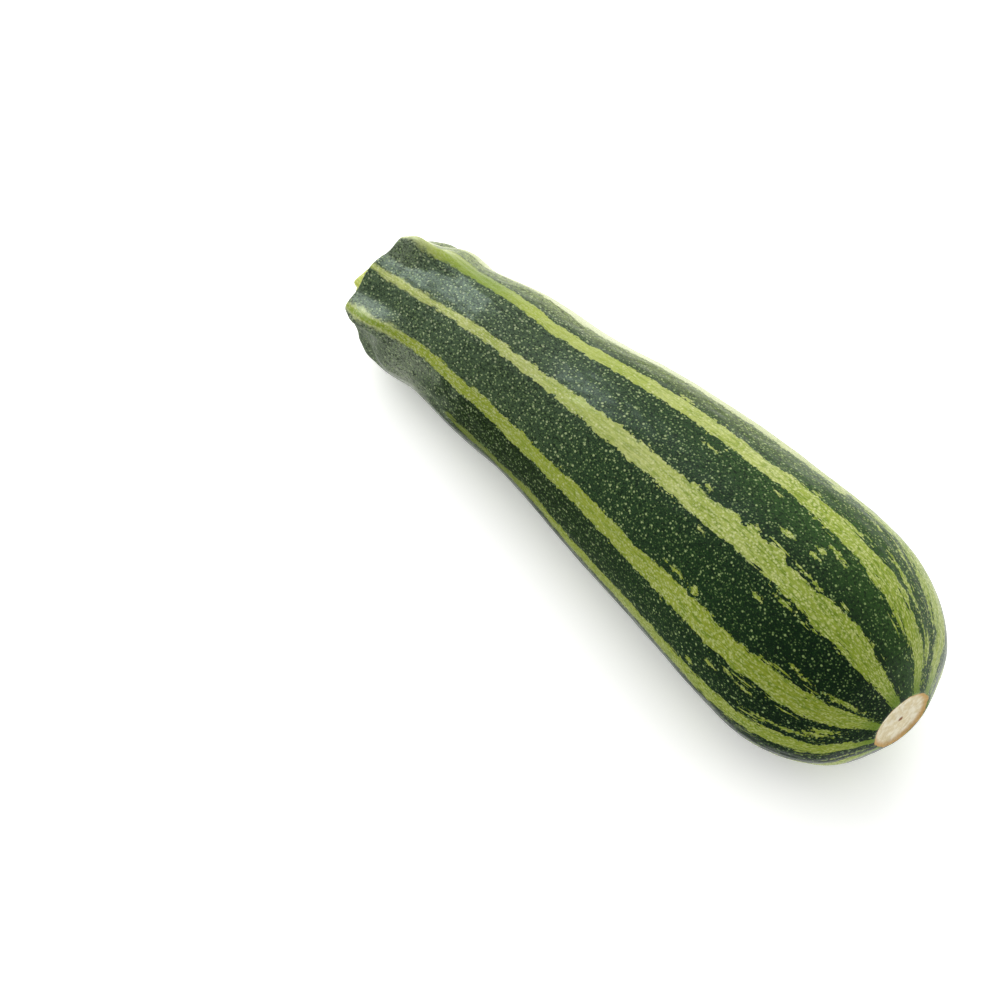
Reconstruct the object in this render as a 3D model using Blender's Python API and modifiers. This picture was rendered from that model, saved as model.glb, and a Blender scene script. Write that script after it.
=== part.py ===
"""A striped zucchini lying on its side, with the short stub of its cut stem.

Metres. +X runs from the stem end to the blossom end and +Z is up. The underside rests at z = 0, and the origin is
below the middle of the whole part. Each piece is turned from its side outline about its own axis. Its ridges are
then raised, and it is bowed, leaned and set down, all by formulas.
"""
import math

import bpy
import numpy as np
from mathutils import Matrix, Vector

# Side outline of the fruit between its ridges: distance along its axis from the stem end, and radius there
FRUIT_OUTLINE = (
    (0.0028, 0.0000),
    (0.0027, 0.0095),
    (0.0023, 0.0113),
    (0.0009, 0.0123),
    (0.0007, 0.0128),
    (0.0030, 0.0132),
    (0.0080, 0.0143),
    (0.0150, 0.0174),
    (0.0245, 0.0181),
    (0.0410, 0.0207),
    (0.0610, 0.0219),
    (0.0820, 0.0252),
    (0.1030, 0.0276),
    (0.1240, 0.0296),
    (0.1440, 0.0310),
    (0.1570, 0.0303),
    (0.1685, 0.0264),
    (0.1765, 0.0208),
    (0.1806, 0.0145),
    (0.1823, 0.0113),
    (0.1835, 0.0086),
    (0.1830, 0.0077),
    (0.1832, 0.0000),
)
FRUIT_ROW_SPACING = 0.0050
FRUIT_STEPS = 90

# Five ridges, each with a corner at the shoulder: angle from +Y towards +Z in degrees, height of the corner, how far
# the ridge's tip sits back from the rim, and how many degrees the tip turns aside
RIDGES = (
    (70, 0.0046, 0.0021, 2),
    (150, 0.0045, 0.0005, 7),
    (216, 0.0030, 0.0028, -6),
    (281, 0.0041, 0.0000, 0),
    (350, 0.0042, 0.0010, 9),
)
RIDGE_SPREAD = 8
RIDGE_HEIGHT = 0.0014
RIDGE_FADE = 0.034
RIDGE_REST = 0.12
CORNER_PLACE = 0.0063
CORNER_LENGTH = 0.0070
TIP_SPREAD = 16
TIP_LENGTH = 0.0080
TIP_TURN_LENGTH = 0.0120

# Five broad lobes between the ridges, which end where the neck begins: angle, and height at the shoulder
LOBES = ((26, 0.0010), (104, 0.0004), (188, 0.0014), (249, 0.0010), (314, 0.0010))
LOBE_SPREAD = 13
LOBE_END = (0.0165, 0.0255)
LOBE_REST = 0.12
RELIEF_STARTS = (0.0080, 0.0125)

# The fruit's sideways bow, the drop of its blossom end, the lean of its axis as it lies, and how deep its weight
# presses its underside flat
BOW = 0.0048
TIP_DROP = 0.0016
TIP_DROP_STARTS = 0.130
LEAN = math.radians(5.1)
REST_DEPTH = 0.0005

# Side outline of the stem stub between its ridges, from the middle of its foot to the middle of its cut
STEM_OUTLINE = (
    (0.0020, 0.0000),
    (0.0020, 0.0078),
    (0.0015, 0.0087),
    (0.0003, 0.0080),
    (-0.0007, 0.0067),
    (-0.0016, 0.0060),
    (-0.0025, 0.0057),
    (-0.0029, 0.0052),
    (-0.0026, 0.0000),
)
STEM_ROW_SPACING = 0.0018
STEM_STEPS = 50

# The stem's ridges at its cut and at its spread foot, and the slant of the cut, which leaves one side longer
STEM_RIDGE_SPREAD = 12
STEM_RIDGE_TOP = 0.0018
STEM_RIDGE_FOOT = 0.0026
STEM_FOOT_FADE = 0.0026
STEM_CUT_SLANT = math.radians(17)
STEM_LONG_SIDE = math.radians(200)

# Plain colours and roughness of the two skins
SKIN_COLOUR = (0.035, 0.085, 0.030)
SKIN_ROUGHNESS = 0.42
STEM_COLOUR = (0.52, 0.60, 0.14)
STEM_ROUGHNESS = 0.60

COLLECTION_NAME = "striped_zucchini"
MERGE_DISTANCE = 0.00001
SHARP_ANGLE = math.radians(50)


def main():
    clear_scene()
    collection = bpy.data.collections.new(COLLECTION_NAME)
    bpy.context.scene.collection.children.link(collection)
    fruit = turned_piece("fruit", FRUIT_OUTLINE, FRUIT_ROW_SPACING, FRUIT_STEPS, collection)
    stem = turned_piece("stem", STEM_OUTLINE, STEM_ROW_SPACING, STEM_STEPS, collection)
    reshape(fruit, fruit_relief)
    slant_cut(stem)
    reshape(stem, stem_relief)
    set_down(fruit, stem)
    fruit.data.materials.append(plain_material("zucchini_skin", SKIN_COLOUR, SKIN_ROUGHNESS))
    stem.data.materials.append(plain_material("zucchini_stem", STEM_COLOUR, STEM_ROUGHNESS))


def clear_scene():
    for thing in list(bpy.data.objects):
        bpy.data.objects.remove(thing, do_unlink=True)


def smooth_rows(outline, spacing):
    """Points on a smooth curve through the outline's own points, at most one spacing apart."""
    points = np.array(outline)
    lengths = np.hypot(*np.diff(points, axis=0).T)
    knots = np.concatenate([[0.0], np.cumsum(lengths**0.5)])
    slopes = np.gradient(points, knots, axis=0, edge_order=2)
    rows = []
    for span, length in enumerate(lengths):
        width = knots[span + 1] - knots[span]
        steps = math.ceil(length / spacing)
        for t in np.arange(steps) / steps:
            rows.append(
                (2 * t**3 - 3 * t**2 + 1) * points[span]
                + (t**3 - 2 * t**2 + t) * width * slopes[span]
                + (3 * t**2 - 2 * t**3) * points[span + 1]
                + (t**3 - t**2) * width * slopes[span + 1]
            )
    rows.append(points[-1])
    return np.array(rows)


def turned_piece(name, outline, spacing, steps, collection):
    """Turn a side outline about Z, with distance along the axis as height."""
    rows = smooth_rows(outline, spacing)
    if rows[0, 0] < rows[-1, 0]:
        rows = rows[::-1]
    profile = bpy.data.meshes.new(name + "_outline")
    corners = [(radius, 0.0, along) for along, radius in rows]
    profile.from_pydata(corners, [(i, i + 1) for i in range(len(corners) - 1)], [])
    turned = bpy.data.objects.new(name + "_turned", profile)
    collection.objects.link(turned)
    screw = turned.modifiers.new("turn", "SCREW")
    screw.axis = "Z"
    screw.steps = steps
    screw.render_steps = steps
    screw.use_merge_vertices = True
    screw.merge_threshold = MERGE_DISTANCE
    graph = bpy.context.evaluated_depsgraph_get()
    mesh = bpy.data.meshes.new_from_object(turned.evaluated_get(graph))
    bpy.data.objects.remove(turned, do_unlink=True)
    piece = bpy.data.objects.new(name, mesh)
    collection.objects.link(piece)
    mesh.shade_smooth()
    mesh.set_sharp_from_angle(angle=SHARP_ANGLE)
    return piece


def bump(angle, centre, spread):
    """A bell of height 1 round the piece, centred on an angle given in degrees."""
    offset = (math.degrees(angle) - centre + 180) % 360 - 180
    return math.exp(-0.5 * (offset / spread) ** 2)


def smooth_step(start, end, value):
    share = min(1.0, max(0.0, (value - start) / (end - start)))
    return share * share * (3 - 2 * share)


def fruit_relief(angle, along, radius):
    """How far a point of the fruit's turned outline moves out, and how far it sits back from the rim."""
    corner_share = math.exp(-(((along - CORNER_PLACE) / CORNER_LENGTH) ** 2))
    ridge_share = RIDGE_REST + (1 - RIDGE_REST) * math.exp(-((along / RIDGE_FADE) ** 2))
    tip_share = math.exp(-((along / TIP_LENGTH) ** 2))
    turn_share = math.exp(-((along / TIP_TURN_LENGTH) ** 2))
    lobe_share = 1 - (1 - LOBE_REST) * smooth_step(*LOBE_END, along)
    height = 0.0
    set_back = 0.0
    for centre, corner, tip_back, tip_turn in RIDGES:
        crest = corner * corner_share + RIDGE_HEIGHT * ridge_share
        height += crest * bump(angle, centre + tip_turn * turn_share, RIDGE_SPREAD)
        set_back += tip_back * tip_share * bump(angle, centre + tip_turn, TIP_SPREAD)
    for centre, crest in LOBES:
        height += lobe_share * crest * bump(angle, centre, LOBE_SPREAD)
    share = smooth_step(*RELIEF_STARTS, radius)
    return height * share, set_back * share


def stem_relief(angle, along, radius):
    """How far a point of the stem's outline moves out, for five ridges that carry on from the fruit's."""
    flare = math.exp((along - STEM_OUTLINE[0][0]) / STEM_FOOT_FADE)
    crest = STEM_RIDGE_TOP + (STEM_RIDGE_FOOT - STEM_RIDGE_TOP) * flare
    height = crest * sum(bump(angle, centre + turn, STEM_RIDGE_SPREAD) for centre, _, _, turn in RIDGES)
    return height * min(1.0, radius / STEM_OUTLINE[-2][1]) ** 2, 0.0


def slant_cut(stem):
    """Slope the cut end of the stem, so that it stands out further on its long side."""
    foot, top = STEM_OUTLINE[0][0], STEM_OUTLINE[-1][0]
    for vertex in stem.data.vertices:
        share = (foot - vertex.co.z) / (foot - top)
        sideways = vertex.co.x * math.cos(STEM_LONG_SIDE) + vertex.co.y * math.sin(STEM_LONG_SIDE)
        vertex.co.z -= math.tan(STEM_CUT_SLANT) * sideways * share**2


def reshape(piece, relief):
    """Raise the relief of a turned piece, then lay the piece along the fruit's bowed and leaning axis."""
    length = FRUIT_OUTLINE[-1][0]
    lean = Matrix.Rotation(-LEAN, 3, "Y")
    for vertex in piece.data.vertices:
        along = vertex.co.z
        radius = math.hypot(vertex.co.x, vertex.co.y)
        angle = math.atan2(vertex.co.y, vertex.co.x)
        height, set_back = relief(angle, along, radius)
        radius += height
        along += set_back
        phase = math.pi * along / length
        turn = math.atan(BOW * math.pi / length * math.cos(phase))
        across = radius * math.cos(angle)
        bowed = Vector((
            along - across * math.sin(turn),
            BOW * math.sin(phase) + across * math.cos(turn),
            radius * math.sin(angle) - TIP_DROP * smooth_step(TIP_DROP_STARTS, length, along),
        ))
        vertex.co = lean @ bowed


def set_down(fruit, stem):
    """Rest the fruit on z = 0 with its underside pressed flat, and centre the whole part over the origin."""
    both = [vertex for piece in (fruit, stem) for vertex in piece.data.vertices]
    places = np.array([vertex.co for vertex in both])
    low, high = places.min(axis=0), places.max(axis=0)
    shift = Vector((-(low[0] + high[0]) / 2, -(low[1] + high[1]) / 2, -low[2] - REST_DEPTH))
    for vertex in both:
        vertex.co += shift
        vertex.co.z = max(vertex.co.z, 0.0)


def plain_material(name, colour, roughness):
    material = bpy.data.materials.new(name)
    material.use_nodes = True
    shader = material.node_tree.nodes["Principled BSDF"]
    shader.inputs["Base Color"].default_value = (*colour, 1.0)
    shader.inputs["Roughness"].default_value = roughness
    shader.inputs["Metallic"].default_value = 0.0
    return material


main()
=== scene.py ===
"""The looks of a striped zucchini lying on its side: fine meshes, materials, floor, lights and camera.

Metres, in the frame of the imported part: +X runs from the stem end to the blossom end, +Z is up. Marks on the
skin are placed by millimetres along the fruit and by degrees round it, counted from +Y towards +Z.

In the materials, between(value, start, end, low, high) goes smoothly from low to high, or from 0 to 1, while
the value goes from start to end. noise and cells take how much of their pattern fits in a millimetre along
the piece and across it.
"""
import math

import bpy
import numpy as np
from mathutils import Matrix, Vector


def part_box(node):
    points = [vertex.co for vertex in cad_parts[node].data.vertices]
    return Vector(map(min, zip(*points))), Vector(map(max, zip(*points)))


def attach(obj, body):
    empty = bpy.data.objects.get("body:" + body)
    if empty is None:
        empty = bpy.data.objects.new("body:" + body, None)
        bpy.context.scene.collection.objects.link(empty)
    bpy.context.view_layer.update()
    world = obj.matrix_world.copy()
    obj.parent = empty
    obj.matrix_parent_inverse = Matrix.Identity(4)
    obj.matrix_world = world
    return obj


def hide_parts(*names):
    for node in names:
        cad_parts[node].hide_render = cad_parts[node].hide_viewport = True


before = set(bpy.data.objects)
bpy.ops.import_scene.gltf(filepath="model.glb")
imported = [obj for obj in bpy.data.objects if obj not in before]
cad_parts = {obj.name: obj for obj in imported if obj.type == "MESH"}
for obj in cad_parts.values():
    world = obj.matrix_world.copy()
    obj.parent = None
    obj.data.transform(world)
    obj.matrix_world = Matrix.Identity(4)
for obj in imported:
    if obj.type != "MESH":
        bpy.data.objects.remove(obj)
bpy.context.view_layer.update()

MM = 1000.0

# Side outline of the fruit between its ridges: distance along its axis from the stem end, and radius there
FRUIT_OUTLINE = (
    (0.0028, 0.0000),
    (0.0027, 0.0095),
    (0.0023, 0.0113),
    (0.0009, 0.0123),
    (0.0007, 0.0128),
    (0.0030, 0.0132),
    (0.0080, 0.0143),
    (0.0150, 0.0174),
    (0.0245, 0.0181),
    (0.0410, 0.0207),
    (0.0610, 0.0219),
    (0.0820, 0.0252),
    (0.1030, 0.0276),
    (0.1240, 0.0296),
    (0.1440, 0.0310),
    (0.1570, 0.0303),
    (0.1685, 0.0264),
    (0.1765, 0.0208),
    (0.1806, 0.0145),
    (0.1823, 0.0113),
    (0.1835, 0.0086),
    (0.1830, 0.0077),
    (0.1832, 0.0000),
)
FRUIT_ROW_SPACING = 0.00070
FRUIT_COLUMNS = 288

# The outline's points on the rim of the shoulder and on the edge of the scar. Skin before BLOSSOM_HALF only
# counts as far from the scar
RIM_POINT = 4
SCAR_POINT = -3
BLOSSOM_HALF = 0.1
FAR_FROM_SCAR = 0.02

# Five ridges, each with a corner at the shoulder: angle, height of the corner, how far the ridge's tip sits
# back from the rim, and how many degrees the tip turns aside
RIDGES = (
    (70, 0.0046, 0.0021, 2),
    (150, 0.0045, 0.0005, 7),
    (216, 0.0030, 0.0028, -6),
    (281, 0.0041, 0.0000, 0),
    (350, 0.0042, 0.0010, 9),
)
RIDGE_SPREAD = 8
RIDGE_HEIGHT = 0.0014
RIDGE_FADE = 0.034
RIDGE_REST = 0.12
CORNER_PLACE = 0.0063
CORNER_LENGTH = 0.0070
TIP_SPREAD = 16
TIP_LENGTH = 0.0080
TIP_TURN_LENGTH = 0.0120

# Five broad lobes between the ridges, which end where the neck begins: angle, and height at the shoulder
LOBES = ((26, 0.0010), (104, 0.0004), (188, 0.0014), (249, 0.0010), (314, 0.0010))
LOBE_SPREAD = 13
LOBE_END = (0.0165, 0.0255)
LOBE_REST = 0.12
RELIEF_STARTS = (0.0080, 0.0125)

# Between the two upper ridges the neck is hollow and then swells: millimetres along, and how many millimetres
# the skin moves out there. The angles are where that starts, is full, fades and ends
NECK_HOLLOW = (
    (6, 0.0),
    (8, -0.2),
    (11, -1.1),
    (15, -1.7),
    (20, -1.1),
    (25, -0.35),
    (30, 0.2),
    (36, 0.5),
    (42, 0.15),
    (52, 0),
)
NECK_HOLLOW_ANGLES = (62, 82, 128, 146)

# The fruit's sideways bow, the drop of its blossom end, and the lean of its axis as it lies
BOW = 0.0048
TIP_DROP = 0.0016
TIP_DROP_STARTS = 0.130
LEAN = math.radians(5.1)

# Side outline of the stem stub, from the middle of its foot, which sinks into the fruit, to the middle of its
# cut. STEM_FOOT is where it comes out of the fruit
STEM_OUTLINE = (
    (0.0034, 0.0000),
    (0.0034, 0.0082),
    (0.0028, 0.0091),
    (0.0013, 0.0085),
    (-0.0001, 0.0070),
    (-0.0014, 0.0061),
    (-0.0024, 0.0057),
    (-0.0029, 0.0052),
    (-0.0026, 0.0000),
)
STEM_ROW_SPACING = 0.00026
STEM_COLUMNS = 200
STEM_FOOT = 0.0020

# The stem's ridges at its cut and at its spread foot, and the slant of the cut, which leaves one side longer
STEM_RIDGE_SPREAD = 12
STEM_RIDGE_TOP = 0.0018
STEM_RIDGE_FOOT = 0.0026
STEM_FOOT_FADE = 0.0026
STEM_CUT_SLANT = math.radians(17)
STEM_LONG_SIDE = math.radians(200)
STEM_CUT_STARTS = (-0.0022, -0.0027)

# Fine waves in the surfaces: height, random seed, how many, and the ranges of their turns round and lengths
SKIN_SWELLS = (0.00022, 3, 22, (2, 9), (0.030, 0.120))
SKIN_RIPPLES = (0.00006, 4, 40, (14, 60), (0.004, 0.030))
STEM_GROOVES = (0.00011, 7, 14, (18, 44), (0.02, 0.2))
STEM_GRAIN = (0.00010, 8, 20, (3, 17), (0.0012, 0.004))
WAVE_PEAK = 1.4

# The radii where the waves of the skin and the grooves of the stem set in
SKIN_WAVES_START = (0.0110, 0.0150)
STEM_GROOVES_START = (0.004, 0.0055)

# Millimetres of radius that stand in for the changing one where marks keep an even width round the piece
SKIN_RING = 22.0
STEM_RING = 7.0

# Light stripes on the upper side and the flanks: millimetres along the fruit, and the degrees where the
# stripe begins and ends there
UPPER_STRIPES = (
    ((0, 40, 75), (10, 45, 75), (22, 54, 71), (34, 60, 73), (50, 65, 75), (75, 63.5, 73.5), (100, 61.6, 72),
     (121, 62, 71.4), (124, 60, 71.2), (143, 60, 71.3), (146, 57.6, 71.5), (151, 57.6, 71.6),
     (153, 60.4, 71.5), (158, 60, 71.4), (162, 57, 72.6), (169, 54.8, 71), (170.5, 57, 71), (174, 56.4, 71),
     (180, 50, 67)),
    ((0, 108, 113), (10, 105, 113), (25, 103, 109.2), (45, 102, 109.2), (60, 101.5, 110), (72, 101, 111),
     (95, 100.4, 111), (120, 99.2, 111), (124.5, 98.8, 110.8), (126, 97, 110.7), (130, 96.6, 110.4),
     (131, 98.8, 110.3), (132.3, 98.6, 110.2), (133, 95.8, 110.1), (135.5, 95.8, 110), (136.5, 97.4, 110),
     (141, 95.4, 109.6), (145.4, 95, 109.2), (146.6, 98, 109.1), (157, 97.2, 109), (159, 94.2, 109),
     (168, 91.4, 109), (173.5, 90.6, 109), (175, 93.2, 109), (180, 92.6, 109)),
    ((0, 152, 158), (5, 147.8, 154), (10, 145.4, 152), (15, 142.6, 149.6), (30, 138.5, 147.5),
     (50, 139.7, 149), (65, 142, 152.6), (73, 141.6, 150.6), (90, 141, 151), (110, 142, 152), (130, 139, 152),
     (150, 138, 151), (170, 136, 152), (180, 135, 152)),
    ((30, 180, 174), (39, 176.5, 177.5), (50, 176, 184), (60, 179, 186), (75, 172.6, 180.5), (90, 176, 185),
     (120, 174, 185), (140, 173, 185), (160, 171, 182), (180, 172, 186)),
    ((0, 22, 33), (40, 24, 43), (60, 27, 45), (100, 27, 41), (130, 28, 40), (150, 27, 38.6), (170, 18, 37),
     (180, 18, 36)),
)

# Light stripes underneath: angle at the neck, angle at the blossom end, share of the usual width
UNDER_STRIPES = ((216, 213, 1.0), (249, 247, 0.85), (282, 281, 1.1), (315, 316, 0.9), (350, 349, 1.0))
STRIPE_WIDTHS = ((0, 6), (30, 8), (70, 10), (120, 11.5), (150, 13), (183, 15))
STRIPE_STEPS = 40
STRIPE_WANDER = 1.3
STRIPE_WANDER_LENGTH = 47.0

# Depth in millimetres of points that are far outside every stripe and fleck
FAR_OUTSIDE = -9.0

# Light flecks in the dark bands: millimetres along, degrees round, and half their length and width in mm
FLECKS = (
    (141, 87.6, 2.0, 0.7),
    (149.5, 82, 1.9, 0.6),
    (149.7, 86.4, 1.7, 0.45),
    (152, 77, 2.3, 0.55),
    (155.2, 78.6, 1.7, 0.4),
    (130.6, 75, 1.6, 0.4),
    (153, 95.2, 4.4, 0.42),
    (134.4, 95.2, 1.6, 0.5),
    (135.5, 58.7, 1.8, 0.5),
    (164.5, 51.5, 6.6, 0.7),
    (167.5, 38, 7.5, 0.6),
    (178, 47.5, 2.2, 0.8),
    (173, 51, 2.6, 0.4),
    (150, 44, 2.4, 0.4),
    (160, 42.5, 3.4, 0.4),
    (42, 175, 2.0, 0.7),
    (124.4, 113.6, 1.6, 0.4),
    (147.4, 117.5, 1.5, 0.5),
    (153.5, 111.3, 2.8, 0.6),
    (126, 136, 2.9, 0.5),
    (117.6, 96, 1.3, 0.5),
    (133.2, 136.4, 1.4, 1.1),
    (165, 130.4, 1.2, 0.4),
    (168.6, 131.4, 1.5, 0.4),
    (177.5, 131.6, 3.2, 0.55),
    (140, 168.8, 1.6, 0.75),
    (146.5, 159, 1.8, 0.6),
    (152.5, 154.6, 1.8, 0.35),
    (158.6, 156.4, 2.4, 0.4),
    (168.5, 166.2, 6.6, 0.5),
    (162.5, 168.2, 2.0, 0.35),
    (177, 158.6, 2.2, 0.7),
    (176, 163, 2.6, 0.5),
    (109, 79, 2.0, 0.3),
    (135.5, 42, 2.6, 1.6),
    (93, 60, 2.0, 0.6),
)

# More flecks underneath, drawn at random: how many, the seed, the millimetres where they end and how far back
# they reach, how they crowd towards that end, the degrees that they keep to, their half lengths, how much
# longer a few of them are and how few, and their half widths
SPARE_FLECKS = 46
SPARE_FLECK_SEED = 11
SPARE_FLECK_END = 183
SPARE_FLECK_REACH = 75
SPARE_FLECK_CROWDING = 1.6
SPARE_FLECK_ANGLES = (193, 375)
SPARE_FLECK_HALF_LENGTHS = (0.8, 3.0)
SPARE_FLECK_LONGER = 3.0
SPARE_FLECK_RARITY = 4
SPARE_FLECK_HALF_WIDTHS = (0.3, 0.7)

# Colours as shown on a screen under full white light, 0 to 255. Those in rows go by millimetres along
# The dark skin is paler at the neck: partly its own colour, partly a painted sheen
DARK_SKIN = (
    (20, (80, 99, 74)),
    (55, (71, 90, 64)),
    (90, (48, 72, 44)),
    (130, (33, 60, 30)),
    (165, (16, 42, 18)),
)
# Painted rim light: a paler dark skin for the side towards +Y
DARK_RIM_LIGHT = ((20, (162, 176, 118)), (80, (150, 168, 62)), (140, (146, 170, 26)))
DARK_GREEN = (72, 112, 48)
# Painted shade, partly the skin's own deeper green: the dark skin on the -Y side past the neck
DARK_PAINTED_SHADE = (26, 46, 10)
# Painted sheen: grey for the upper rim and for the neck's -Y side
SHEEN_GREY = (146, 156, 132)
# Painted sheen: a whitish patch low on the neck's -Y side
SHEEN_WHITE = (222, 226, 208)
DARK_NET = (8, 24, 12)
DOT_PALE = ((20, (200, 210, 168)), (90, (172, 188, 130)), (165, (148, 172, 106)))
DOT_GREEN = ((20, (122, 148, 92)), (90, (92, 122, 66)), (165, (56, 88, 36)))
LIGHT_PALE = (184, 193, 110)
LIGHT_DEEP = (154, 170, 64)
LIGHT_LIME = (140, 162, 42)
LIGHT_GREEN = (100, 130, 26)
LIGHT_SPRING = (160, 176, 66)
LIGHT_DASH = ((60, (210, 215, 160)), (115, (210, 215, 152)), (170, (202, 210, 132)))
# Painted light: white for rim light towards +Y and for highlights at the shoulder corners
PAINTED_LIGHT_WHITE = (228, 233, 200)
LIGHT_YELLOW = (142, 157, 44)
# Painted shade: an olive that darkens the lower stripe where it starts
LIGHT_PAINTED_SHADE = (78, 96, 20)
PIT_DARK = (80, 99, 74)
SCAR_CREAM = (222, 208, 168)
SCAR_PALE = (240, 232, 206)
SCAR_TAN = (202, 160, 92)
SCAR_BROWN = (136, 88, 54)
STEM_GREEN = (190, 200, 74)
STEM_PALE = (226, 231, 150)
STEM_DRY = (168, 142, 84)
FLESH_IOR = 1.42

FLOOR_SIZE = 6.0
FLOOR_DROP = 0.0002
FLOOR_COLOUR = (0.88, 0.88, 0.88, 1.0)
FLOOR_GLOW = 0.90
CONTACT_SHADE_REACH = 0.038
CONTACT_SHADE_SAMPLES = 2

# The strength of the sky before and behind the fruit, below and above the horizon, and where it turns over
SKY_FRONT = (0.12, 0.28)
SKY_BACK = (1.30, 0.62)
SKY_HORIZON = (-0.15, 0.15)
SKY_SIDES = (-0.35, 0.45)
WHITE = (1.0, 1.0, 1.0, 1.0)

# Two square softboxes: where they stand from their target, how far, their width and their power in watts
KEY_DIRECTION = (-0.72, 0.26, 0.64)
KEY_DISTANCE = 1.5
KEY_SIZE = 2.4
KEY_POWER = 29.0
WINDOW_DIRECTION = (-0.82, 0.22, 0.53)
WINDOW_DISTANCE = 0.6
WINDOW_SIZE = 0.28
WINDOW_POWER = 2.5
WINDOW_COLOUR = (0.84, 1.0, 0.98)

CAMERA_AZIMUTH = math.radians(46.29)
CAMERA_ELEVATION = math.radians(61.9)
CAMERA_DISTANCE = 1.1
CAMERA_TARGET = Vector((-0.01826, -0.030276, 0.03))
CAMERA_LENS = 159.87
CAMERA_SENSOR = 36.0


def smooth_rows(outline, spacing):
    """Points on a smooth curve through the outline's own points, at most one spacing apart."""
    points = np.array(outline)
    lengths = np.hypot(*np.diff(points, axis=0).T)
    knots = np.concatenate([[0.0], np.cumsum(lengths**0.5)])
    slopes = np.gradient(points, knots, axis=0, edge_order=2)
    rows = []
    for span, length in enumerate(lengths):
        width = knots[span + 1] - knots[span]
        steps = math.ceil(length / spacing)
        for t in np.arange(steps) / steps:
            rows.append(
                (2 * t**3 - 3 * t**2 + 1) * points[span]
                + (t**3 - 2 * t**2 + t) * width * slopes[span]
                + (3 * t**2 - 2 * t**3) * points[span + 1]
                + (t**3 - t**2) * width * slopes[span + 1]
            )
    rows.append(points[-1])
    return np.array(rows)


def turned_grid(outline, spacing, columns):
    """Grids of an outline turned about its axis: distance along, degrees round, radius and outline run."""
    rows = smooth_rows(outline, spacing)
    run = np.concatenate([[0.0], np.cumsum(np.hypot(*np.diff(rows, axis=0).T))])
    along, radius, run = (np.outer(values, np.ones(columns)) for values in (*rows.T, run))
    degrees = np.tile(np.arange(columns) * 360 / columns, (len(rows), 1))
    return along, degrees, radius, run


def smooth_step(start, end, value):
    """A smooth change from 0 to 1 while the value goes from start to end."""
    share = np.clip((value - start) / (end - start), 0, 1)
    return share * share * (3 - 2 * share)


def turned(offset):
    """An angle in degrees, brought between -180 and 180."""
    return (offset + 180) % 360 - 180


def bump(degrees, centre, spread):
    """A bell of height 1 round the piece."""
    return np.exp(-0.5 * (turned(degrees - centre) / spread) ** 2)


def neck_hollow(degrees, along):
    """How far the skin moves out between the two upper ridges of the neck."""
    places, heights = np.array(NECK_HOLLOW).T / MM
    start, full, fading, end = NECK_HOLLOW_ANGLES
    share = smooth_step(start, full, degrees) * smooth_step(end, fading, degrees)
    return np.interp(along, places, heights) * share


def fruit_relief(degrees, along, radius):
    """How far the fruit's turned outline moves out, and how far it sits back from the rim."""
    corner_share = np.exp(-(((along - CORNER_PLACE) / CORNER_LENGTH) ** 2))
    ridge_share = RIDGE_REST + (1 - RIDGE_REST) * np.exp(-((along / RIDGE_FADE) ** 2))
    tip_share = np.exp(-((along / TIP_LENGTH) ** 2))
    turn_share = np.exp(-((along / TIP_TURN_LENGTH) ** 2))
    lobe_share = 1 - (1 - LOBE_REST) * smooth_step(*LOBE_END, along)
    height = neck_hollow(degrees, along)
    set_back = np.zeros_like(radius)
    for centre, corner, tip_back, tip_turn in RIDGES:
        crest = corner * corner_share + RIDGE_HEIGHT * ridge_share
        height += crest * bump(degrees, centre + tip_turn * turn_share, RIDGE_SPREAD)
        set_back += tip_back * tip_share * bump(degrees, centre + tip_turn, TIP_SPREAD)
    for centre, crest in LOBES:
        height += lobe_share * crest * bump(degrees, centre, LOBE_SPREAD)
    share = smooth_step(*RELIEF_STARTS, radius)
    return height * share, set_back * share


def stem_relief(degrees, along, radius):
    """How far the stem's turned outline moves out, for five ridges that carry on from the fruit's."""
    flare = np.exp((np.minimum(along, STEM_FOOT) - STEM_FOOT) / STEM_FOOT_FADE)
    crest = STEM_RIDGE_TOP + (STEM_RIDGE_FOOT - STEM_RIDGE_TOP) * flare
    ridges = sum(bump(degrees, centre + turn, STEM_RIDGE_SPREAD) for centre, _, _, turn in RIDGES)
    return crest * ridges * np.minimum(1.0, radius / STEM_OUTLINE[-2][1]) ** 2


def slant_cut(degrees, along, radius):
    """The distance along of the stem's points once its cut is sloped."""
    share = np.clip((STEM_FOOT - along) / (STEM_FOOT - STEM_OUTLINE[-1][0]), 0, None)
    sideways = radius * np.cos(np.radians(degrees) - STEM_LONG_SIDE)
    return along - math.tan(STEM_CUT_SLANT) * sideways * share**2


def laid(degrees, along, radius):
    """Points of a turned piece once it follows the fruit's bowed and leaning axis."""
    length = FRUIT_OUTLINE[-1][0]
    phase = math.pi * along / length
    turn = np.arctan(BOW * math.pi / length * np.cos(phase))
    across = radius * np.cos(np.radians(degrees))
    rise = radius * np.sin(np.radians(degrees)) - TIP_DROP * smooth_step(TIP_DROP_STARTS, length, along)
    x = along - across * np.sin(turn)
    y = BOW * np.sin(phase) + across * np.cos(turn)
    return np.stack([
        x * math.cos(LEAN) - rise * math.sin(LEAN),
        y,
        x * math.sin(LEAN) + rise * math.cos(LEAN),
    ], axis=-1)


def about_axis(degrees, along, radius):
    """Points of a turned piece about a straight axis, in the unit of their measures."""
    angle = np.radians(degrees)
    return np.stack([along, radius * np.cos(angle), radius * np.sin(angle)], axis=-1)


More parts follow.
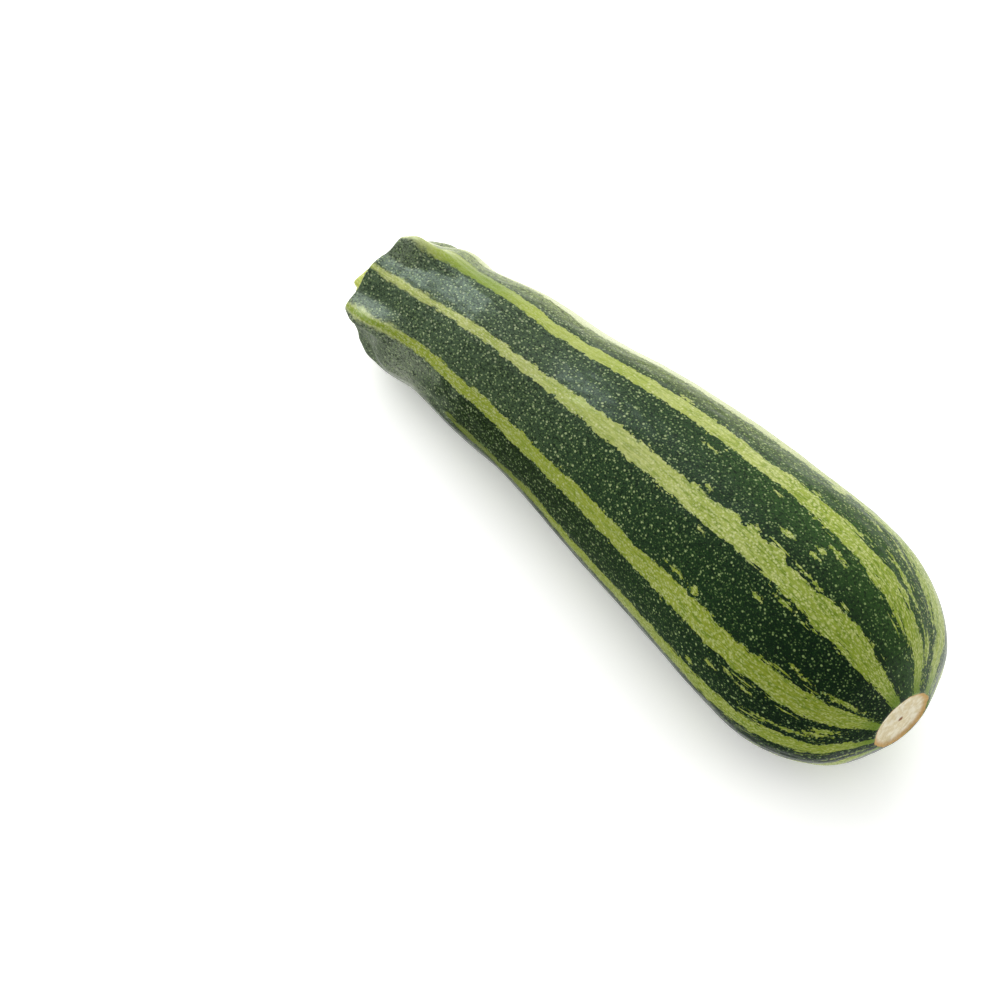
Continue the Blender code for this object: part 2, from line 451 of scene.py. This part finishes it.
def waves(degrees, along, height, seed, count, turns, lengths):
    """A smooth random sum of waves round and along a piece, mostly within its height."""
    draw = np.random.default_rng(seed)
    total = np.zeros_like(degrees)
    for _ in range(count):
        around = draw.integers(turns[0], turns[1] + 1)
        pace = draw.choice((-1, 1)) * 2 * math.pi / draw.uniform(*lengths)
        start = draw.uniform(0, 2 * math.pi)
        total += np.sin(around * np.radians(degrees) + pace * along + start)
    return height * (total / count**0.5 / WAVE_PEAK)


def on_points(grid):
    """Grid values in the order of a turned mesh's points."""
    return np.concatenate([grid[:1, 0], grid[1:-1].reshape(-1, *grid.shape[2:]), grid[-1:, 0]])


def turned_mesh(name, places, run):
    """A closed mesh, with its baking UV map, from a grid whose first and last rows are single points."""
    rows, columns = run.shape
    reach = run[:, 0] / run[-1, 0]
    sides = [(a, (a + 1) % columns) for a in range(columns)]
    faces = [(0, 1 + b, 1 + a) for a, b in sides]
    uv = [((0.0, a + 0.5), (reach[1], a + 1), (reach[1], a)) for a, _ in sides]
    for row in range(1, rows - 2):
        low = 1 + (row - 1) * columns
        high = low + columns
        near, far = reach[row], reach[row + 1]
        faces += [(low + a, low + b, high + b, high + a) for a, b in sides]
        uv += [((near, a), (near, a + 1), (far, a + 1), (far, a)) for a, _ in sides]
    last = 1 + (rows - 3) * columns
    end = last + columns
    faces += [(last + a, last + b, end) for a, b in sides]
    uv += [((reach[-2], a), (reach[-2], a + 1), (1.0, a + 0.5)) for a, _ in sides]
    mesh = bpy.data.meshes.new(name)
    mesh.from_pydata(on_points(places).tolist(), [], faces)
    layer = mesh.uv_layers.new(name="OFBake")
    flat = np.array([(u, v / columns) for face in uv for u, v in face], np.float32)
    layer.data.foreach_set("uv", flat.ravel())
    mesh.shade_smooth()
    piece = bpy.data.objects.new(name, mesh)
    bpy.context.scene.collection.objects.link(piece)
    return piece


def store(piece, name, grid):
    """Keep grid values on a piece's points, for its material to read."""
    values = on_points(grid).astype(np.float32)
    kind, key = ("FLOAT_VECTOR", "vector") if values.ndim == 2 else ("FLOAT", "value")
    piece.data.attributes.new(name, kind, "POINT").data.foreach_set(key, values.ravel())


def stripe_edges():
    """Each light stripe as three rows: millimetres along, degrees where it begins, degrees where it ends."""
    for points in UPPER_STRIPES:
        yield np.array(points, float).T
    for neck, blossom, share in UNDER_STRIPES:
        along, width = np.array(STRIPE_WIDTHS, float).T
        along_fine = np.linspace(0, along[-1], STRIPE_STEPS)
        centre = np.interp(along_fine, (0, along[-1]), (neck, blossom))
        centre = centre + STRIPE_WANDER * np.sin(2 * math.pi * along_fine / STRIPE_WANDER_LENGTH + neck)
        half = np.interp(along_fine, along, width) * share / 2
        yield np.array([along_fine, centre - half, centre + half])


def stripe_depth(degrees, along, radius):
    """Millimetres from a point to the nearest stripe's edge, positive inside the stripe."""
    depth = np.full(radius.shape, FAR_OUTSIDE)
    for places, low, high in stripe_edges():
        low_here = np.interp(along * MM, places, low)
        high_here = np.interp(along * MM, places, high)
        centre = (low_here + high_here) / 2
        inside = (high_here - low_here) / 2 - np.abs(turned(degrees - centre))
        depth = np.maximum(depth, np.radians(inside) * radius * MM)
    return depth


def spare_flecks():
    """Flecks drawn at random for the underside."""
    draw = np.random.default_rng(SPARE_FLECK_SEED)
    for _ in range(SPARE_FLECKS):
        place = SPARE_FLECK_END - SPARE_FLECK_REACH * draw.uniform(0, 1) ** SPARE_FLECK_CROWDING
        half_length = draw.uniform(*SPARE_FLECK_HALF_LENGTHS)
        half_length += SPARE_FLECK_LONGER * draw.uniform(0, 1) ** SPARE_FLECK_RARITY
        angle = draw.uniform(*SPARE_FLECK_ANGLES)
        yield place, angle, half_length, draw.uniform(*SPARE_FLECK_HALF_WIDTHS)


def fleck_depth(degrees, along, radius):
    """Millimetres into the nearest light fleck, negative outside it."""
    depth = np.full(radius.shape, FAR_OUTSIDE)
    for place, angle, half_length, half_width in (*FLECKS, *spare_flecks()):
        ahead = (along * MM - place) / half_length
        aside = np.radians(turned(degrees - angle)) * radius * MM / half_width
        depth = np.maximum(depth, (1 - np.hypot(ahead, aside)) * half_width)
    return depth


def formula_shift():
    """From the formulas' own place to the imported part's, by the fruit's highest corner."""
    along, degrees, radius, _ = turned_grid(FRUIT_OUTLINE, FRUIT_ROW_SPACING, FRUIT_COLUMNS)
    height, set_back = fruit_relief(degrees, along, radius)
    places = laid(degrees, along + set_back, radius + height)
    return np.array(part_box("fruit")[1]) - places.reshape(-1, 3).max(axis=0)


def make_fruit(shift):
    along, degrees, radius, run = turned_grid(FRUIT_OUTLINE, FRUIT_ROW_SPACING, FRUIT_COLUMNS)
    height, set_back = fruit_relief(degrees, along, radius)
    unevenness = waves(degrees, along, *SKIN_SWELLS) + waves(degrees, along, *SKIN_RIPPLES)
    along_shown = along + set_back
    radius_shown = radius + height + unevenness * smooth_step(*SKIN_WAVES_START, radius)
    places = laid(degrees, along_shown, radius_shown) + shift
    places[..., 2] = np.maximum(places[..., 2], 0.0)
    fruit = turned_mesh("fruit_skin", places, run)
    store(fruit, "along_mm", along_shown * MM)
    store(fruit, "straight_mm", about_axis(degrees, along_shown, radius_shown) * MM)
    store(fruit, "lengthwise_mm", about_axis(degrees, run * MM, SKIN_RING))
    store(fruit, "towards_y", np.cos(np.radians(degrees)))
    store(fruit, "stripe_mm", stripe_depth(degrees, along, radius_shown))
    store(fruit, "fleck_mm", fleck_depth(degrees, along, radius_shown))
    rim_along, rim_radius = FRUIT_OUTLINE[RIM_POINT]
    rim_row = np.hypot(along[:, 0] - rim_along, radius[:, 0] - rim_radius).argmin()
    store(fruit, "past_rim_mm", (run - run[rim_row]) * MM)
    to_scar = np.where(along > BLOSSOM_HALF, radius - FRUIT_OUTLINE[SCAR_POINT][1], FAR_FROM_SCAR)
    store(fruit, "to_scar_mm", to_scar * MM)
    return fruit


def make_stem(shift):
    along, degrees, radius, run = turned_grid(STEM_OUTLINE, STEM_ROW_SPACING, STEM_COLUMNS)
    height = stem_relief(degrees, along, radius)
    cut_along = slant_cut(degrees, along, radius)
    on_cut = smooth_step(*STEM_CUT_STARTS, along)
    grooves = waves(degrees, along, *STEM_GROOVES) * smooth_step(*STEM_GROOVES_START, radius) * (1 - on_cut)
    grain = waves(degrees, radius, *STEM_GRAIN) * on_cut
    places = laid(degrees, cut_along + grain, radius + height + grooves)
    stem = turned_mesh("stem_stub", places + shift, run)
    store(stem, "straight_mm", about_axis(degrees, cut_along, radius + height) * MM)
    store(stem, "lengthwise_mm", about_axis(degrees, along * MM, STEM_RING))
    store(stem, "radius_mm", radius * MM)
    store(stem, "on_cut", on_cut)
    return stem


def linear(colour):
    """Shader colour for a screen colour given as 0 to 255."""
    channels = [c / 255 for c in colour]
    return (*(c / 12.92 if c <= 0.04045 else ((c + 0.055) / 1.055) ** 2.4 for c in channels), 1.0)


class Nodes:
    """A node tree under construction. Its methods add nodes and return the output of the last one."""

    def __init__(self, tree):
        self.tree = tree

    def give(self, socket, value):
        """Link an output to a socket, or set the socket to a plain value."""
        if isinstance(value, bpy.types.NodeSocket):
            self.tree.links.new(value, socket)
        else:
            socket.default_value = value

    def node(self, kind, inputs, output=0, **settings):
        made = self.tree.nodes.new(kind)
        for name, value in settings.items():
            setattr(made, name, value)
        for key, value in inputs.items():
            self.give(made.inputs[key], value)
        return made.outputs[output]

    def math(self, operation, first, *others):
        """One operation worked through the values from left to right."""
        for other in others:
            first = self.node("ShaderNodeMath", {0: first, 1: other}, operation=operation)
        return first

    def plus(self, *values):
        return self.math("ADD", *values)

    def less(self, *values):
        return self.math("SUBTRACT", *values)

    def times(self, *values):
        return self.math("MULTIPLY", *values)

    def most(self, *values):
        return self.math("MAXIMUM", *values)

    def between(self, value, start, end, low=0.0, high=1.0):
        inputs = {"Value": value, "From Min": start, "From Max": end, "To Min": low, "To Max": high}
        return self.node("ShaderNodeMapRange", inputs, interpolation_type="SMOOTHSTEP")

    def part(self, vector, axis):
        """A vector's X, Y or Z."""
        return self.node("ShaderNodeSeparateXYZ", {0: vector}, axis)

    def scaled(self, vector, along, across):
        """A vector times one scale along the piece and another across it."""
        scale = (along, across, across)
        return self.node("ShaderNodeVectorMath", {0: vector, 1: scale}, operation="MULTIPLY")

    def noise(self, vector, along, across, detail, roughness):
        inputs = {"Vector": self.scaled(vector, along, across), "Scale": 1.0}
        return self.node("ShaderNodeTexNoise", {**inputs, "Detail": detail, "Roughness": roughness}, "Fac")

    def cells(self, vector, along, across):
        """Distance from the nearest of a scatter of points."""
        inputs = {"Vector": self.scaled(vector, along, across), "Scale": 1.0}
        return self.node("ShaderNodeTexVoronoi", inputs, "Distance")

    def mix(self, first, second, *shares):
        """From one colour to another, by the product of the shares. Either may be a screen colour."""
        share = self.times(*shares)
        first, second = (linear(c) if isinstance(c, tuple) else c for c in (first, second))
        # Inputs 6 and 7 of a mix node take its colours, and output 2 gives the mixed one
        return self.node("ShaderNodeMix", {0: share, 6: first, 7: second}, 2, data_type="RGBA")

    def ramp(self, value, stops):
        """Colour by a value in millimetres, from stops of (millimetres, screen colour)."""
        first, last = stops[0][0], stops[-1][0]
        share = self.node("ShaderNodeMapRange", {"Value": value, "From Min": first, "From Max": last})
        made = self.tree.nodes.new("ShaderNodeValToRGB")
        self.tree.links.new(share, made.inputs[0])
        points = made.color_ramp.elements
        for index, (place, colour) in enumerate(stops):
            point = points[index] if index < 2 else points.new(1.0)
            point.position = (place - first) / (last - first)
            point.color = linear(colour)
        return made.outputs[0]

    def bumps(self, *layers):
        """Bumps laid one over another, from layers of (height, distance in metres, strength)."""
        under = {}
        for height, distance, strength in layers:
            inputs = {"Height": height, "Distance": distance, "Strength": strength, **under}
            under = {"Normal": self.node("ShaderNodeBump", inputs)}
        return under["Normal"]


class Paint(Nodes):
    """A material under construction."""

    def __init__(self, name):
        self.material = bpy.data.materials.new(name)
        self.material.use_nodes = True
        super().__init__(self.material.node_tree)
        self.shader = self.tree.nodes["Principled BSDF"]

    def read(self, name, output="Fac"):
        """Values stored on the piece's points."""
        return self.node("ShaderNodeAttribute", {}, output, attribute_name=name)

    def feed(self, **values):
        """Give values to the shader's inputs, with underscores for the spaces in their names."""
        for name, value in values.items():
            self.give(self.shader.inputs[name.replace("_", " ")], value)


class Skin(Paint):
    """The fruit's skin under construction, with the values that its layers share."""

    def __init__(self, name):
        super().__init__(name)
        self.straight = self.read("straight_mm", "Vector")
        self.lengthwise = self.read("lengthwise_mm", "Vector")
        self.along = self.read("along_mm")
        self.towards_y = self.read("towards_y")
        self.stripe_mm = self.read("stripe_mm")
        self.to_scar_mm = self.read("to_scar_mm")
        # The side towards +Y takes painted rim light
        self.rim_light_side = self.by_side(0.42, 0.76)
        self.yellow_side = self.by_side(-0.35, -0.80)
        self.ragged = self.times(self.less(self.noise(self.lengthwise, 0.22, 0.50, 4.0, 0.65), 0.5), 3.0)
        self.net = self.noise(self.straight, 1.3, 1.8, 3.0, 0.75)
        self.fine_dots = self.between(self.cells(self.straight, 1.10, 1.26), 0.40, 0.14)
        self.grain = self.noise(self.straight, 0.6, 0.6, 4.0, 0.6)
        wobble = self.less(self.noise(self.straight, 0.25, 0.25, 2.0, 0.5), 0.5)
        self.from_scar = self.plus(self.to_scar_mm, self.times(wobble, 1.6))
        self.on_scar = self.between(self.from_scar, 0.15, -0.15)

    def by_along(self, *limits):
        """A share by millimetres along the fruit."""
        return self.between(self.along, *limits)

    def by_side(self, *limits):
        """A share by how much the skin faces +Y, from -1 to 1."""
        return self.between(self.towards_y, *limits)

    def squiggles(self):
        """Millimetres by which small islands widen the light, from a third of the way along."""
        squiggly = self.noise(self.straight, 0.42, 0.70, 3.0, 0.65)
        return self.times(self.between(squiggly, 0.60, 0.72, 0.0, 1.9), self.by_along(55.0, 110.0))

    def streaks(self):
        """Millimetres by which lengthwise streaks widen and narrow the light near the blossom end."""
        streaky = self.noise(self.lengthwise, 0.10, 1.25, 3.0, 0.6)
        light_streaks = self.between(streaky, 0.57, 0.68, 0.0, 2.6)
        dark_streaks = self.between(streaky, 0.40, 0.30, 0.0, 2.2)
        return self.times(
            self.less(light_streaks, dark_streaks),
            self.by_side(0.20, 0.60, 1.0, 1.6),
            self.by_along(118.0, 168.0),
            self.by_along(180.0, 170.0, 0.35, 1.0),
        )

    def stripe_share(self):
        """Where the skin is light: in ragged stripes, and in islands and flecks between them."""
        serrated = self.less(self.noise(self.straight, 0.9, 1.4, 3.0, 0.6), 0.5)
        serrated = self.times(serrated, self.by_along(30.0, 80.0, 1.3, 1.9))
        uneven = self.times(self.plus(self.ragged, serrated), self.by_side(0.60, 0.78, 1.0, 1.6))
        depth = self.plus(self.stripe_mm, uneven)
        depth = self.plus(depth, self.plus(self.streaks(), self.squiggles()))
        depth = self.less(depth, self.by_along(100.0, 150.0, 0.0, 0.35))
        uneven_fleck = self.plus(self.times(self.ragged, 0.25), self.times(serrated, 1.3))
        depth = self.most(depth, self.plus(self.read("fleck_mm"), uneven_fleck))
        softness = self.by_along(12.0, 44.0, 0.50, 0.15)
        return self.between(depth, self.times(softness, -1.0), softness)

    def painted_sheen_patch(self):
        """Where a painted sheen, a soft whitish patch, lies on the lower part of the -Y side, behind the
        shoulder.
        """
        rise = self.part(self.straight, "Z")
        ragged_along = self.plus(self.along, self.ragged)
        return self.times(
            self.between(ragged_along, 12.0, 25.0),
            self.between(ragged_along, 36.0, 25.0),
            self.between(rise, 5.0, -4.0, 0.08, 0.42),
            self.between(rise, -14.0, -8.0),
            self.by_side(-0.75, -0.88),
        )

    def dark_skin(self):
        """The dark skin: painted rim light paler towards +Y, painted sheen grey at the rim and on the neck's
        -Y side with a whitish patch, painted shade on the -Y side, greener above, netted.
        """
        shaded_side = self.by_side(-0.70, -0.92)
        blotches = self.noise(self.straight, 0.12, 0.16, 2.0, 0.5)
        blotchy_along = self.plus(self.along, self.between(blotches, 0.25, 0.75, -11.0, 11.0))
        neck = self.between(blotchy_along, 45.0, 22.0)
        behind_neck = self.between(blotchy_along, 28.0, 48.0, 0.0, 0.95)
        # Where painted shade darkens the -Y side past the neck
        below = self.times(shaded_side, behind_neck, self.by_along(140.0, 60.0))
        pale = self.ramp(self.along, DARK_RIM_LIGHT)
        dark = self.ramp(self.along, DARK_SKIN)
        # Painted rim light: the dark skin paler towards +Y
        dark = self.mix(dark, pale, self.rim_light_side, self.by_along(180.0, 10.0, 0.04, 0.88))
        # Painted sheen: grey near the rim on the upper side, and on the neck's -Y side
        dark = self.mix(dark, SHEEN_GREY, self.by_along(17.0, 5.0), self.by_side(-0.20, 0.05, 0.0, 0.40))
        dark = self.mix(dark, SHEEN_GREY, neck, 0.45, shaded_side)
        # Painted shade on the -Y side past the neck, partly a deeper green
        dark = self.mix(dark, DARK_PAINTED_SHADE, below)
        # Painted sheen: a soft whitish patch low on the -Y side behind the shoulder
        dark = self.mix(dark, SHEEN_WHITE, self.painted_sheen_patch())
        dark = self.mix(dark, DARK_GREEN, self.by_side(-0.15, 0.25), self.by_along(80.0, 150.0, 0.0, 0.45))
        dark = self.mix(dark, DARK_NET, self.between(self.net, 0.42, 0.62, 0.0, 0.80))
        return self.dotted(dark, below)

    def dotted(self, dark, below):
        """Green specks and green and pale dots over the dark skin, duller in the painted shade of the -Y side,
        with pale dots added towards +Y as painted rim light.
        """
        specks = self.noise(self.straight, 2.2, 2.8, 2.0, 0.6)
        green_dot = self.ramp(self.along, DOT_GREEN)
        pale_dot = self.ramp(self.along, DOT_PALE)
        dark = self.mix(dark, green_dot, self.between(specks, 0.54, 0.70, 0.0, 0.60))
        dark = self.mix(dark, green_dot, self.fine_dots, 0.75)
        coarse_dots = self.between(self.cells(self.straight, 0.50, 0.58), 0.23, 0.10)
        bright = self.times(self.fine_dots, self.between(specks, 0.44, 0.64, 0.0, 0.85))
        bright = self.most(bright, self.times(coarse_dots, self.by_along(25.0, 100.0, 0.45, 0.90)))
        # Pale dots duller in the painted shade
        dark = self.mix(dark, pale_dot, bright, self.between(below, 0.0, 1.0, 1.0, 0.55))
        # Pale dots towards +Y: painted rim light
        return self.mix(dark, LIGHT_PALE, self.fine_dots, self.rim_light_side, 0.5)

    def dashes(self):
        """Where the light skin has paler dashes and spots in rows."""
        dashes = self.between(self.cells(self.lengthwise, 0.95, 1.85), 0.47, 0.17)
        small_dashes = self.noise(self.lengthwise, 0.8, 3.0, 2.0, 0.6)
        dashes = self.most(dashes, self.between(small_dashes, 0.50, 0.66, 0.0, 0.75))
        strength = self.most(self.by_along(85.0, 50.0, 0.0, 0.85), self.by_along(85.0, 140.0, 0.50, 0.95))
        pale_spots = self.between(self.cells(self.lengthwise, 0.56, 0.80), 0.28, 0.10)
        dashes = self.most(self.times(dashes, strength), self.times(pale_spots, 0.9))
        return self.times(dashes, self.between(self.yellow_side, 0.0, 1.0, 0.95, 0.70))

    def light_skin(self):
        """The light skin: mottled, with deeper lines and paler dashes, and yellower on the -Y side."""
        patches = self.noise(self.lengthwise, 0.07, 0.12, 2.0, 0.5)
        lines = self.noise(self.lengthwise, 0.20, 2.1, 3.0, 0.65)
        line_share = self.between(lines, 0.45, 0.62)
        light = self.mix(LIGHT_PALE, LIGHT_DEEP, self.between(patches, 0.35, 0.65, 0.0, 0.7))
        light = self.mix(light, LIGHT_LIME, self.by_along(105.0, 168.0, 0.0, 0.80))
        light = self.mix(light, LIGHT_YELLOW, self.yellow_side, 0.85)
        light = self.mix(light, LIGHT_GREEN, line_share, self.by_along(80.0, 150.0, 0.42, 0.75))
        light = self.mix(light, self.ramp(self.along, LIGHT_DASH), self.dashes())
        return self.tinted(light)

    def tinted(self, light):
        """The light skin's tints by place: painted rim light whitening it towards +Y, a painted highlight at
        the upper shoulder corner, a painted highlight on the edges and a green core in the low corner's
        stripe, painted shade at the lower stripe's start, green on the upper neck and by the scar.
        """
        white_start = self.by_along(20.0, 60.0, 0.68, 0.52)
        white_full = self.by_along(20.0, 60.0, 0.88, 0.80)
        white_along = self.by_along(146.0, 60.0, 0.03, 0.62)
        painted_rim_light = self.times(self.by_side(white_start, white_full), white_along)
        above = self.times(self.by_side(0.0, 0.3), self.by_side(0.75, 0.50))
        green_neck = self.times(self.by_along(48.0, 30.0, 0.0, 0.65), self.by_along(4.0, 28.0))
        shaded_stripe_start = self.times(self.by_side(-0.88, -0.98), self.by_along(95.0, 55.0, 0.10, 0.75))
        low_corner = self.times(self.yellow_side, self.by_along(26.0, 10.0))
        stripe_core = self.between(self.stripe_mm, 0.4, 1.1, 0.0, 0.60)
        stripe_edge = self.between(self.stripe_mm, 0.8, 0.1, 0.0, 0.28)
        # Painted rim light whitens the light skin towards +Y
        light = self.mix(light, PAINTED_LIGHT_WHITE, painted_rim_light, self.by_along(12.0, 50.0, 0.9, 1.0))
        light = self.mix(light, LIGHT_SPRING, above, self.by_along(90.0, 55.0, 0.0, 0.40))
        light = self.mix(light, LIGHT_GREEN, green_neck, above)
        # Painted highlight at the shoulder corner above
        light = self.mix(light, PAINTED_LIGHT_WHITE, self.by_along(15.0, 4.0, 0.0, 0.45), above)
        # Painted shade at the start of the lower stripe
        light = self.mix(light, LIGHT_PAINTED_SHADE, shaded_stripe_start)
        light = self.mix(light, LIGHT_GREEN, low_corner, stripe_core)
        # Painted highlight along the edges of the low corner's stripe
        light = self.mix(light, PAINTED_LIGHT_WHITE, low_corner, stripe_edge)
        return self.mix(light, LIGHT_GREEN, self.between(self.to_scar_mm, 7.0, 0.5, 0.0, 0.85))

    def scar(self):
        """The corky scar at the blossom end: cream, with a tan rim and a brown middle."""
        scar = self.mix(SCAR_CREAM, SCAR_PALE, self.between(self.grain, 0.40, 0.62))
        scar = self.mix(scar, SCAR_TAN, self.between(self.from_scar, -1.9, -0.2, 0.0, 0.90))
        return self.mix(scar, SCAR_BROWN, self.between(self.from_scar, -7.6, -8.3))

    def pit(self):
        """The sunken face round the stem."""
        return self.mix(LIGHT_DEEP, PIT_DARK, self.between(self.net, 0.35, 0.65))


def skin_material():
    skin = Skin("zucchini_skin")
    colour = skin.mix(skin.dark_skin(), skin.light_skin(), skin.stripe_share())
    colour = skin.mix(colour, skin.scar(), skin.on_scar)
    colour = skin.mix(colour, skin.pit(), skin.between(skin.read("past_rim_mm"), 0.5, -2.5))
    roughness = skin.between(skin.net, 0.3, 0.7, 0.25, 0.34)
    swell = skin.noise(skin.straight, 0.10, 0.22, 2.0, 0.5)
    cork = skin.times(skin.grain, skin.on_scar)
    skin.feed(
        Base_Color=colour,
        Roughness=skin.most(roughness, skin.times(skin.on_scar, 0.75)),
        Normal=skin.bumps((swell, 0.0005, 0.5), (skin.fine_dots, 0.00003, 0.6), (cork, 0.0006, 0.8)),
        IOR=FLESH_IOR,
        Specular_IOR_Level=0.2,
    )
    return skin.material


def stem_material():
    paint = Paint("zucchini_stem")
    straight = paint.read("straight_mm", "Vector")
    radius = paint.read("radius_mm")
    fibres = paint.noise(paint.read("lengthwise_mm", "Vector"), 0.25, 2.4, 3.0, 0.6)
    blots = paint.noise(straight, 0.7, 0.7, 3.0, 0.6)
    flesh = paint.noise(straight, 1.8, 1.8, 4.0, 0.65)
    side = paint.mix(STEM_GREEN, STEM_PALE, paint.between(fibres, 0.38, 0.66))
    side = paint.mix(side, LIGHT_GREEN, paint.between(blots, 0.56, 0.75, 0.0, 0.6))
    cut = paint.mix(STEM_PALE, SCAR_PALE, paint.between(flesh, 0.4, 0.65))
    cut = paint.mix(cut, STEM_GREEN, paint.between(radius, 3.6, 5.2, 0.0, 0.7))
    cut = paint.mix(cut, STEM_DRY, paint.between(radius, 1.1, 0.3, 0.0, 0.6))
    paint.feed(
        Base_Color=paint.mix(side, cut, paint.read("on_cut")),
        Roughness=paint.between(fibres, 0.3, 0.7, 0.45, 0.62),
        Normal=paint.bumps((fibres, 0.0004, 0.6), (flesh, 0.0003, 0.4)),
        IOR=FLESH_IOR,
    )
    return paint.material


def floor_material():
    """A pale floor that glows except where the fruit stands close, which leaves a soft contact shadow."""
    paint = Paint("pale_floor")
    shade = {"Distance": CONTACT_SHADE_REACH}
    open_share = paint.node("ShaderNodeAmbientOcclusion", shade, "AO", samples=CONTACT_SHADE_SAMPLES)
    paint.feed(
        Base_Color=FLOOR_COLOUR,
        Roughness=0.7,
        Specular_IOR_Level=0.2,
        Emission_Color=FLOOR_COLOUR,
        Emission_Strength=paint.between(open_share, 0.10, 0.75, 0.0, FLOOR_GLOW),
    )
    return paint.material


def make_floor():
    bpy.ops.mesh.primitive_plane_add(size=FLOOR_SIZE, location=(0, 0, -FLOOR_DROP))
    floor = bpy.context.object
    floor.name = "floor"
    floor.visible_glossy = False
    floor.data.materials.append(floor_material())


def area_light(name, target, direction, distance, size, power):
    """A square softbox that faces a target from a direction."""
    lamp = bpy.data.lights.new(name, "AREA")
    lamp.size = size
    lamp.energy = power
    holder = bpy.data.objects.new(name, lamp)
    back = Vector(direction).normalized()
    holder.location = Vector(target) + back * distance
    holder.rotation_euler = back.to_track_quat("Z", "Y").to_euler()
    bpy.context.scene.collection.objects.link(holder)
    return holder


def make_sky():
    """A white sky, brighter behind the fruit, towards +Y, than before it."""
    world = bpy.data.worlds.new("studio")
    world.use_nodes = True
    sky = Nodes(world.node_tree)
    direction = sky.node("ShaderNodeTexCoord", {}, "Generated")
    height = sky.part(direction, "Z")
    front = sky.between(height, *SKY_HORIZON, *SKY_FRONT)
    back = sky.between(height, *SKY_HORIZON, *SKY_BACK)
    share = sky.between(sky.part(direction, "Y"), *SKY_SIDES)
    # Inputs 2 and 3 of a mix node take its plain numbers
    strength = sky.node("ShaderNodeMix", {0: share, 2: front, 3: back})
    background = world.node_tree.nodes["Background"]
    sky.give(background.inputs["Color"], WHITE)
    sky.give(background.inputs["Strength"], strength)
    bpy.context.scene.world = world


def make_lights():
    make_sky()
    key = area_light("key_softbox", (0, 0, 0), KEY_DIRECTION, KEY_DISTANCE, KEY_SIZE, KEY_POWER)
    key.visible_glossy = False
    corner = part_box("stem")[1]
    window = area_light("window", corner, WINDOW_DIRECTION, WINDOW_DISTANCE, WINDOW_SIZE, WINDOW_POWER)
    window.data.color = WINDOW_COLOUR
    window.visible_diffuse = False
    bpy.context.scene.view_settings.view_transform = "Standard"


def make_camera():
    lens = bpy.data.cameras.new("camera")
    lens.lens = CAMERA_LENS
    lens.sensor_width = CAMERA_SENSOR
    holder = bpy.data.objects.new("camera", lens)
    back = Vector((
        math.sin(CAMERA_AZIMUTH) * math.cos(CAMERA_ELEVATION),
        -math.cos(CAMERA_AZIMUTH) * math.cos(CAMERA_ELEVATION),
        math.sin(CAMERA_ELEVATION),
    ))
    right = Vector((math.cos(CAMERA_AZIMUTH), math.sin(CAMERA_AZIMUTH), 0.0))
    up = back.cross(right)
    turn = Matrix((right, up, back)).transposed().to_4x4()
    holder.matrix_world = Matrix.Translation(CAMERA_TARGET + back * CAMERA_DISTANCE) @ turn
    bpy.context.scene.collection.objects.link(holder)
    bpy.context.scene.camera = holder


make_camera()
make_lights()
make_floor()
shift = formula_shift()

fruit = make_fruit(shift)
fruit.data.materials.append(skin_material())
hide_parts("fruit")
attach(fruit, "root")

stem = make_stem(shift)
stem.data.materials.append(stem_material())
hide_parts("stem")
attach(stem, "root")
